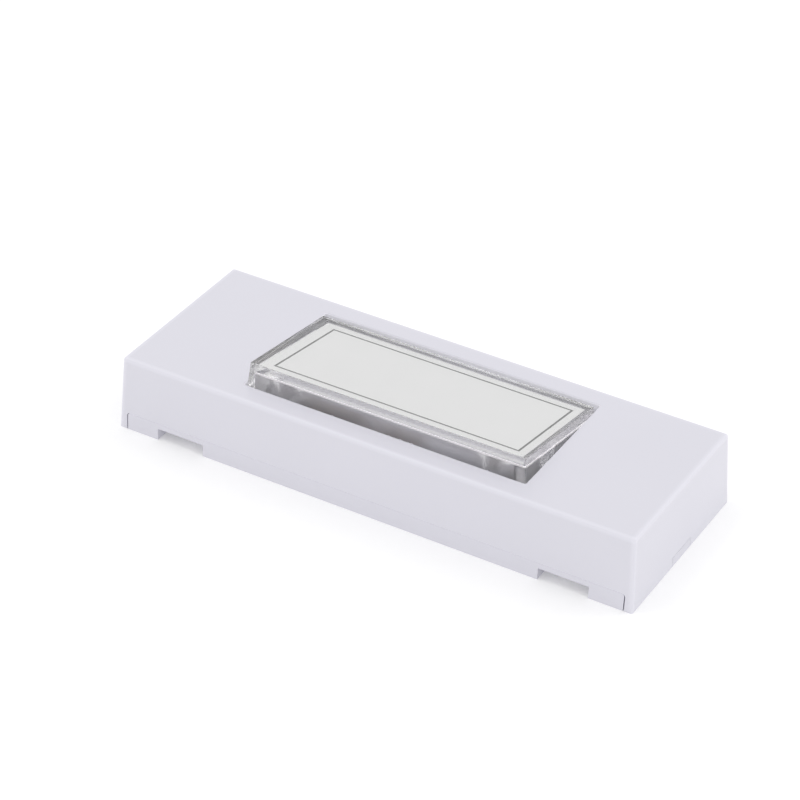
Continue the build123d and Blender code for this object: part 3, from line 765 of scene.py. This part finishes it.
def join_scene(name, mesh, body, material, slot, *replaced):
    """A finished piece from a mesh whose place is already in it."""
    if material is not None:
        mesh.materials.clear()
        mesh.materials.append(material)
    piece = bpy.data.objects.new(name, mesh)
    bpy.context.scene.collection.objects.link(piece)
    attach(piece, body)
    if replaced:
        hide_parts(*replaced)
    return piece


def copied_mesh(name, node):
    """A merged copy of a CAD node's mesh, with smooth round faces and sharp edges."""
    mesh = frame["nodes"][node].data.copy()
    mesh.name = name
    shape = bmesh.new()
    shape.from_mesh(mesh)
    bmesh.ops.remove_doubles(shape, verts=shape.verts, dist=MERGE_DISTANCE)
    shape.to_mesh(mesh)
    shape.free()
    mesh.shade_smooth()
    mesh.set_sharp_from_angle(angle=SHARP_ANGLE)
    return mesh


def grown_mesh(name, tree, values):
    """The plain mesh that a geometry tree makes with these inputs."""
    seed = bpy.data.objects.new(name + "_seed", bpy.data.meshes.new(name + "_seed"))
    bpy.context.scene.collection.objects.link(seed)
    modifier = seed.modifiers.new("Shape", "NODES")
    modifier.node_group = tree
    for item in tree.interface.items_tree:
        if item.item_type == "SOCKET" and item.in_out == "INPUT" and item.name in values:
            modifier[item.identifier] = values[item.name]
    depsgraph = bpy.context.evaluated_depsgraph_get()
    mesh = bpy.data.meshes.new_from_object(seed.evaluated_get(depsgraph), depsgraph=depsgraph)
    mesh.name = name
    bpy.data.objects.remove(seed)
    return mesh


def tube_of(tree, curve, wire_radius, sides, material):
    """The closing nodes that make a curve a tube: its section, shading, material and real geometry."""
    section = put(tree, "GeometryNodeCurvePrimitiveCircle", {"Resolution": sides, "Radius": wire_radius})
    form = {"Curve": curve, "Profile Curve": section.outputs[0], "Fill Caps": True}
    tube = put(tree, "GeometryNodeCurveToMesh", form)
    smooth = put(tree, "GeometryNodeSetShadeSmooth", {"Geometry": tube.outputs[0]})
    real = put(tree, "GeometryNodeRealizeInstances", {"Geometry": smooth.outputs[0]})
    made = put(tree, "GeometryNodeSetMaterial", {"Geometry": real.outputs[0], "Material": material})
    return made.outputs[0]


def build_spring(name):
    """Compression spring: a helix with closed ends on a given seat."""
    inputs = {
        "Place": "Vector",
        "Radius": "Float",
        "Height": "Float",
        "Wire Radius": "Float",
        "Turns": "Float",
        "Closed": "Float",
        "Material": "Material",
    }
    tree, given, result = node_group("GeometryNodeTree", name, inputs, GEOMETRY_OUTPUT)
    flat_spiral = {
        "Resolution": SPRING_POINTS,
        "Rotations": given["Turns"],
        "Start Radius": given["Radius"],
        "End Radius": given["Radius"],
        "Height": 0.0,
    }
    spiral = put(tree, "GeometryNodeCurveSpiral", flat_spiral)
    along = put(tree, "GeometryNodeSplineParameter").outputs["Factor"]
    far = calculate(tree, "SUBTRACT", 1.0, given["Closed"])
    closed_rise = calculate(tree, "MULTIPLY", given["Wire Radius"], CLOSED_RISE)
    both_closed = calculate(tree, "MULTIPLY", closed_rise, 2.0)
    open_rise = calculate(tree, "SUBTRACT", given["Height"], both_closed)
    rises = (
        spread(tree, along, 0.0, given["Closed"], 0.0, closed_rise),
        spread(tree, along, given["Closed"], far, 0.0, open_rise),
        spread(tree, along, far, 1.0, 0.0, closed_rise),
    )
    lift = put(tree, "ShaderNodeCombineXYZ", {"Z": calculate(tree, "ADD", *rises)}).outputs[0]
    offset = calculate_vector(tree, "ADD", lift, given["Place"])
    raised = put(tree, "GeometryNodeSetPosition", {"Geometry": spiral.outputs[0], "Offset": offset})
    made = tube_of(tree, raised.outputs[0], given["Wire Radius"], SPRING_SIDES, given["Material"])
    tree.links.new(made, result["Geometry"])


def build_filament(name):
    """Filament: a fine coil along X that sags a little between straight leads."""
    inputs = {
        "Place": "Vector",
        "Radius": "Float",
        "Coil Length": "Float",
        "Full Length": "Float",
        "Wire Radius": "Float",
        "Turns": "Int",
        "Sag": "Float",
        "Material": "Material",
    }
    tree, given, result = node_group("GeometryNodeTree", name, inputs, GEOMETRY_OUTPUT)
    points = calculate(tree, "MULTIPLY", given["Turns"], FILAMENT_POINTS)
    line = put(tree, "GeometryNodeCurvePrimitiveLine", {"Start": (-0.5, 0.0, 0.0), "End": (0.5, 0.0, 0.0)})
    fine = put(tree, "GeometryNodeResampleCurve", {"Curve": line.outputs[0], "Count": points})
    along = put(tree, "GeometryNodeSplineParameter").outputs["Factor"]
    centred = calculate(tree, "SUBTRACT", along, 0.5)
    edge = calculate(tree, "SUBTRACT", 0.5, calculate(tree, "ABSOLUTE", centred))
    turn = calculate(tree, "MULTIPLY", along, given["Turns"], 2 * math.pi)
    coiled = spread(tree, edge, COIL_START, COIL_FULL, 0.0, 1.0)
    radius = calculate(tree, "MULTIPLY", coiled, given["Radius"])
    bow = calculate(tree, "SUBTRACT", 1.0, calculate(tree, "MULTIPLY", centred, centred, 4.0))
    drop = calculate(tree, "MULTIPLY", bow, given["Sag"])
    leads = calculate(tree, "SUBTRACT", given["Full Length"], given["Coil Length"])
    one_lead = calculate(tree, "MULTIPLY", leads, 0.5)
    in_lead = spread(tree, edge, 0.0, LEAD_END, 1.0, 0.0)
    outwards = calculate(tree, "MULTIPLY", in_lead, calculate(tree, "SIGN", centred), one_lead)
    x = calculate(tree, "ADD", calculate(tree, "MULTIPLY", centred, given["Coil Length"]), outwards)
    y = calculate(tree, "MULTIPLY", calculate(tree, "SINE", turn), radius)
    height = calculate(tree, "MULTIPLY", calculate(tree, "COSINE", turn), radius)
    z = calculate(tree, "SUBTRACT", height, drop)
    spot = put(tree, "ShaderNodeCombineXYZ", {"X": x, "Y": y, "Z": z}).outputs[0]
    moved = calculate_vector(tree, "ADD", spot, given["Place"])
    placed = put(tree, "GeometryNodeSetPosition", {"Geometry": fine.outputs[0], "Position": moved})
    made = tube_of(tree, placed.outputs[0], given["Wire Radius"], FILAMENT_SIDES, given["Material"])
    tree.links.new(made, result["Geometry"])


def burr_mesh(name, places, reach, seed):
    """Small uneven lumps of plastic, half sunk in the lip of the opening."""
    shape = bmesh.new()
    for count, (x, y, z, size) in enumerate(places):
        start = Vector((seed, BURR_NOISE_STEP * count, 0.0))
        made = bmesh.ops.create_icosphere(shape, subdivisions=2, radius=1.0)
        for vertex in made["verts"]:
            swell = 1.0 + BURR_UNEVEN * noise.noise(vertex.co * BURR_NOISE_SCALE + start)
            vertex.co = Vector((x, y, z)) + vertex.co * BURR_STRETCH * (swell * size * reach)
    for face in shape.faces:
        face.smooth = True
    mesh = bpy.data.meshes.new(name)
    shape.to_mesh(mesh)
    shape.free()
    return mesh


# Stage


def add_camera(scene):
    """The camera at the photograph's angle, for a square frame."""
    data = bpy.data.cameras.new("camera")
    data.lens = CAMERA_LENS
    data.sensor_width = SENSOR_WIDTH
    data.clip_start = CAMERA_NEAR
    camera = bpy.data.objects.new("camera", data)
    turned = Matrix((CAMERA_RIGHT, -CAMERA_DOWN, -CAMERA_FORWARD)).transposed()
    camera.matrix_world = Matrix.Translation(CAMERA_PLACE) @ turned.to_4x4()
    scene.collection.objects.link(camera)
    scene.camera = camera


def floor_material(settings):
    """A pale glowing floor that can't be seen from below."""
    material = grained("pale_floor", settings.floor_colour)
    tree = material.node_tree
    shader = shader_of(material)
    shader.inputs["Specular IOR Level"].default_value = 0.0
    shader.inputs["Emission Color"].default_value = (1.0, 1.0, 1.0, 1.0)
    shader.inputs["Emission Strength"].default_value = settings.floor_glow
    back = put(tree, "ShaderNodeNewGeometry").outputs["Backfacing"]
    see_through = put(tree, "ShaderNodeBsdfTransparent").outputs[0]
    either = put(tree, "ShaderNodeMixShader", {0: back, 1: shader.outputs[0], 2: see_through})
    tree.links.new(either.outputs[0], output_of(material).inputs["Surface"])
    return material


def add_floor(settings):
    """A plain floor that lies a hair under the part's back, so that the two aren't in one plane."""
    half = settings.floor_size / 2
    outline = ((-half, -half), (half, -half), (half, half), (-half, half))
    corners = [(x, y, -FLOOR_DROP) for x, y in outline]
    mesh = bpy.data.meshes.new("floor")
    mesh.from_pydata(corners, [], [(0, 1, 2, 3)])
    mesh.materials.append(floor_material(settings))
    floor = bpy.data.objects.new("floor", mesh)
    bpy.context.scene.collection.objects.link(floor)


def add_sky(scene, sky_strength):
    """Even light from all round."""
    world = bpy.data.worlds.new("studio")
    world.use_nodes = True
    background = world.node_tree.nodes["Background"]
    background.inputs["Color"].default_value = (1.0, 1.0, 1.0, 1.0)
    background.inputs["Strength"].default_value = sky_strength
    scene.world = world


def add_lamp(name, place, size, power):
    """A square soft lamp that faces the object."""
    data = bpy.data.lights.new(name, "AREA")
    data.shape = "SQUARE"
    data.size = size
    data.energy = power
    lamp = bpy.data.objects.new(name, data)
    lamp.location = place
    lamp.rotation_euler = (LIT_POINT - place).to_track_quat("-Z", "Y").to_euler()
    bpy.context.scene.collection.objects.link(lamp)


# Operators


class BELLPUSH_OT_stage(bpy.types.Operator):
    """Makes the camera, the floor and the studio light"""

    bl_idname = "bell_push.stage"
    bl_label = "Stage"

    def execute(self, context):
        scene = context.scene
        settings = scene.bell_push.stage
        add_camera(scene)
        add_floor(settings)
        add_sky(scene, settings.sky)
        add_lamp("key_lamp", KEY_PLACE, settings.key_size, settings.key_power)
        add_lamp("fill_lamp", FILL_PLACE, settings.fill_size, settings.fill_power)
        scene.view_settings.view_transform = "Standard"
        scene.cycles.max_bounces = LIGHT_BOUNCES
        scene.cycles.glossy_bounces = LIGHT_BOUNCES
        scene.cycles.transmission_bounces = LIGHT_BOUNCES
        scene.cycles.transparent_max_bounces = LIGHT_BOUNCES
        return {"FINISHED"}


class BELLPUSH_OT_mouldings(bpy.types.Operator):
    """Finishes the white cover and base, with a painted highlight on the cover's edges and painted glow in
    its opening and seam
    """

    bl_idname = "bell_push.mouldings"
    bl_label = "White mouldings"

    def execute(self, context):
        settings = context.scene.bell_push.moulding
        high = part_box("front_cover")[1]
        cover = grained("satin_cover_plastic", settings.cover_colour)
        base = grained("satin_base_plastic", settings.base_colour)
        add_specks(cover, settings)
        # A painted highlight on the cover's edges
        paint_edge_highlight(cover, high, settings)
        in_opening = opening_painted_glow(cover.node_tree, settings, high.z)
        in_gap = gap_painted_light(cover.node_tree, settings, high.y)
        # Painted glow on the opening's walls and in the seam gap, on cover and base: parts that are no
        # lamps give off light
        give_light(cover, calculate(cover.node_tree, "MAXIMUM", in_opening, in_gap))
        give_light(base, gap_painted_light(base.node_tree, settings, high.y))
        dress(cover, "front_cover")
        dress(base, "base_plate")
        return {"FINISHED"}


class BELLPUSH_OT_lip_burrs(bpy.types.Operator):
    """Adds the small burrs on the front lip of the opening"""

    bl_idname = "bell_push.lip_burrs"
    bl_label = "Lip burrs"

    def execute(self, context):
        settings = context.scene.bell_push.burr
        places = [(x * MM, LIP_Y, LIP_Z, size) for x, size in BURRS]
        mesh = burr_mesh("lip_burrs", places, settings.reach, settings.seed)
        cover_material = frame["nodes"]["front_cover"].data.materials[0]
        join_scene("lip_burrs", mesh, "case", cover_material, "white_plastic")
        return {"FINISHED"}


class BELLPUSH_OT_clear_button(bpy.types.Operator):
    """Finishes the clear tray and cap of the button, with painted shade on thick parts and painted light
    at the joint
    """

    bl_idname = "bell_push.clear_button"
    bl_label = "Clear button"

    def execute(self, context):
        settings = context.scene.bell_push.clear
        slope = context.scene.bell_push.card.slope
        low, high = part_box("lens_cover")
        cap = clear_material("clear_cap", settings.tint, settings.bending)
        tray = clear_material("clear_tray", settings.tint, settings.bending)
        # Painted shade on the button's front, back rim and thick ends
        paint_shade_on_thick_parts(cap, tray, low, high, settings)
        parts = (
            (cap, "lens_cover", settings.cap_frost, 0.0),
            (tray, "push_rocker", settings.tray_frost, settings.painted_wash),
        )
        for material, node, frost, painted_wash in parts:
            frost_sides(material, low, high, settings, frost)
            # Painted light on the joint; for the tray also a painted wash on its front wall
            paint_joint_light(material, low, high, slope, settings, painted_wash)
            absorb_light(material, settings)
            dress(material, node)
        return {"FINISHED"}


class BELLPUSH_OT_name_card(bpy.types.Operator):
    """Finishes the card with its printed border"""

    bl_idname = "bell_push.name_card"
    bl_label = "Name card"

    def execute(self, context):
        settings = context.scene.bell_push.card
        card = grained("card_stock", settings.paper)
        print_border(card, settings)
        let_light_pass(card, (1.0, 1.0, 1.0), settings.light_through)
        dress(card, "name_card")
        return {"FINISHED"}


class BELLPUSH_OT_return_springs(bpy.types.Operator):
    """Winds the two return springs from round wire"""

    bl_idname = "bell_push.return_springs"
    bl_label = "Return springs"

    def execute(self, context):
        settings = context.scene.bell_push.spring
        steel = grained("drawn_spring_wire", SLOT_COLOURS["spring_steel"], metallic=1.0)
        wire_radius = settings.wire / 2
        for side in ("left", "right"):
            node = "return_spring_" + side
            name = "coil_spring_" + side
            low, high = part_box(node)
            middle = (low + high) / 2
            values = {
                "Place": Vector((middle.x, middle.y, low.z + wire_radius)),
                "Radius": (high.x - low.x) / 2 - wire_radius,
                "Height": high.z - low.z - settings.wire,
                "Wire Radius": wire_radius,
                "Turns": settings.turns,
                "Closed": settings.closed,
                "Material": steel,
            }
            mesh = grown_mesh(name, shared_group("Compression spring", build_spring), values)
            piece = join_scene(name, mesh, "case", None, "spring_steel", node)
            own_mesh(piece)
        return {"FINISHED"}


class BELLPUSH_OT_sprung_contact(bpy.types.Operator):
    """Finishes the contact leaf and its rivet, which sink with the button"""

    bl_idname = "bell_push.sprung_contact"
    bl_label = "Sprung contact"

    def execute(self, context):
        bright = SLOT_COLOURS["spring_bronze"]
        dulled = tuple((1.0 - DULL_SHARE) * part + DULL_SHARE * DULL_GREY for part in bright)
        bronze = grained("rolled_bronze", dulled, metallic=1.0)
        for name, node, material, slot in (
            ("sprung_leaf", "contact_leaf", bronze, "spring_bronze"),
            ("sprung_contact", "moving_contact", silver_material(), "contact_silver"),
        ):
            piece = join_scene(name, copied_mesh(name, node), "case", material, slot, node)
            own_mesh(piece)
        return {"FINISHED"}


class BELLPUSH_OT_fixed_metal(bpy.types.Operator):
    """Finishes the plates, clips, screws, washers and fixed rivets"""

    bl_idname = "bell_push.fixed_metal"
    bl_label = "Fixed metal parts"

    def execute(self, context):
        tinned = grained("tinned_brass", SLOT_COLOURS["tinned_brass"], metallic=1.0)
        zinc = grained("zinc_plated_steel", SLOT_COLOURS["zinc_steel"], metallic=1.0)
        dress(tinned, "fixed_contact", "terminal_plate_left", "terminal_plate_right")
        dress(tinned, "lamp_clip_left", "lamp_clip_right", "clip_rivets")
        dress(zinc, "clamp_washers", "terminal_screws")
        dress(silver_material(), "fixed_contact_rivet")
        return {"FINISHED"}


class BELLPUSH_OT_lamp(bpy.types.Operator):
    """Finishes the lamp's caps and glass and winds its filament"""

    bl_idname = "bell_push.lamp"
    bl_label = "Lamp"

    def execute(self, context):
        settings = context.scene.bell_push.lamp
        nickel = grained("nickel_plate", SLOT_COLOURS["nickel"], metallic=1.0)
        glass = clear_material("drawn_lamp_glass", settings.glass, settings.bending)
        tungsten = grained("tungsten_wire", SLOT_COLOURS["tungsten"], metallic=1.0)
        dress(nickel, "lamp_cap_left", "lamp_cap_right")
        dress(glass, "lamp_glass")
        low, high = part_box("lamp_filament")
        values = {
            "Place": (low + high) / 2 + Vector((0.0, 0.0, settings.sag / 2)),
            "Radius": settings.coil_radius,
            "Coil Length": settings.coil_length,
            "Full Length": high.x - low.x,
            "Wire Radius": settings.wire / 2,
            "Turns": settings.turns,
            "Sag": settings.sag,
            "Material": tungsten,
        }
        mesh = grown_mesh("coiled_filament", shared_group("Filament", build_filament), values)
        join_scene("coiled_filament", mesh, "case", None, "tungsten", "lamp_filament")
        return {"FINISHED"}


# Panel and registration


class BELLPUSH_PT_panel(bpy.types.Panel):
    """Lists the bell push's settings and operators"""

    bl_idname = "BELLPUSH_PT_panel"
    bl_label = "Bell push"
    bl_space_type = "VIEW_3D"
    bl_region_type = "UI"
    bl_category = "Bell push"

    def draw(self, context):
        settings = context.scene.bell_push
        for part in BellPushSettings.__annotations__:
            box = self.layout.box()
            box.label(text=part.capitalize())
            group = getattr(settings, part)
            for name in group.__annotations__:
                box.prop(group, name)
        for operator in OPERATORS:
            self.layout.operator(operator.bl_idname)


SETTINGS = (
    StageSettings,
    MouldingSettings,
    ClearSettings,
    CardSettings,
    SpringSettings,
    LampSettings,
    BurrSettings,
    BellPushSettings,
)
OPERATORS = (
    BELLPUSH_OT_stage,
    BELLPUSH_OT_mouldings,
    BELLPUSH_OT_lip_burrs,
    BELLPUSH_OT_clear_button,
    BELLPUSH_OT_name_card,
    BELLPUSH_OT_return_springs,
    BELLPUSH_OT_sprung_contact,
    BELLPUSH_OT_fixed_metal,
    BELLPUSH_OT_lamp,
)


def register():
    """Registers the settings, operators and panel."""
    for kind in (*SETTINGS, *OPERATORS, BELLPUSH_PT_panel):
        bpy.utils.register_class(kind)
    bpy.types.Scene.bell_push = PointerProperty(type=BellPushSettings)


def unregister():
    """Removes the panel, operators and settings."""
    del bpy.types.Scene.bell_push
    for kind in reversed((*SETTINGS, *OPERATORS, BELLPUSH_PT_panel)):
        bpy.utils.unregister_class(kind)


def main():
    """Builds everything."""
    register()
    for operator in OPERATORS:
        family, name = operator.bl_idname.split(".")
        getattr(getattr(bpy.ops, family), name)()


if __name__ == "__main__":
    main()
